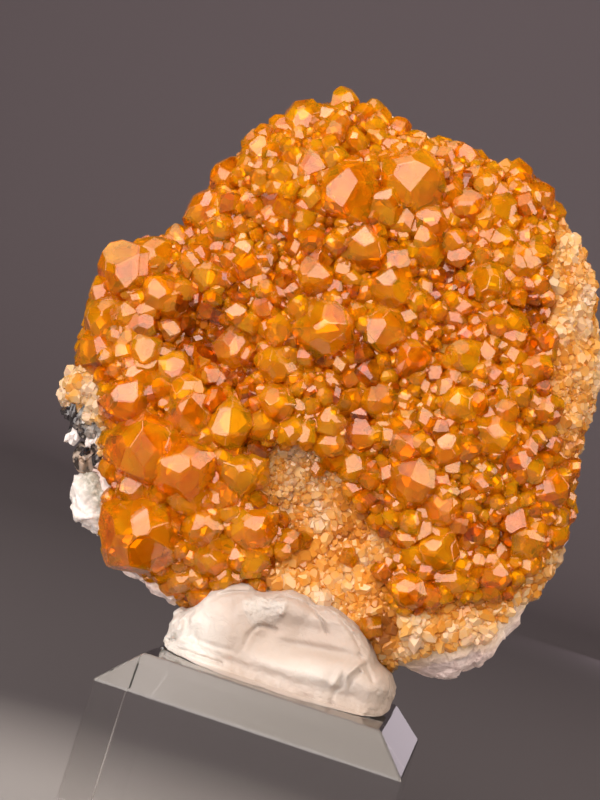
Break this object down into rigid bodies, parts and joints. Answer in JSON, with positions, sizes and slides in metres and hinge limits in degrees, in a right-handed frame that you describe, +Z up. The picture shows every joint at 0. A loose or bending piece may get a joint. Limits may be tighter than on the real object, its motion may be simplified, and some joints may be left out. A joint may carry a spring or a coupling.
{
  "type": "spessartine garnet specimen",
  "caption": "Plate of grown-together orange garnets and fine pale crystals on feldspar, held upright by white putty on a clear bevelled block.",
  "frame": {"origin": "centre of the block's base, on the surface that it stands on", "axes": "+Z up, -Y towards the side that shows the garnets, +X to the viewer's right"},
  "size_m": [0.0573, 0.032, 0.0872],
  "materials": {
    "clear_acrylic": "clear polished acrylic",
    "white_putty": "soft, matt, thumbed",
    "matrix_stone": "rough broken feldspar and quartz",
    "garnet": "glassy natural crystal faces",
    "pale_druse": "fine sparkling crystals",
    "feldspar": "smooth, satin",
    "dark_mineral": "black, shiny, broken"
  },
  "bodies": {
    "root": {"acrylic_block": "clear_acrylic", "mounting_putty": "white_putty", "matrix_rock": "matrix_stone", "garnet_crust": "garnet", "pale_druse": "pale_druse", "pale_druse_right": "pale_druse", "pale_druse_left": "pale_druse", "feldspar_lump": "feldspar", "dark_mineral": "dark_mineral", "lone_garnet_1": "garnet", "lone_garnet_2": "garnet", "lone_garnet_3": "garnet", "lone_garnet_4": "garnet"}
  },
  "joints": []
}
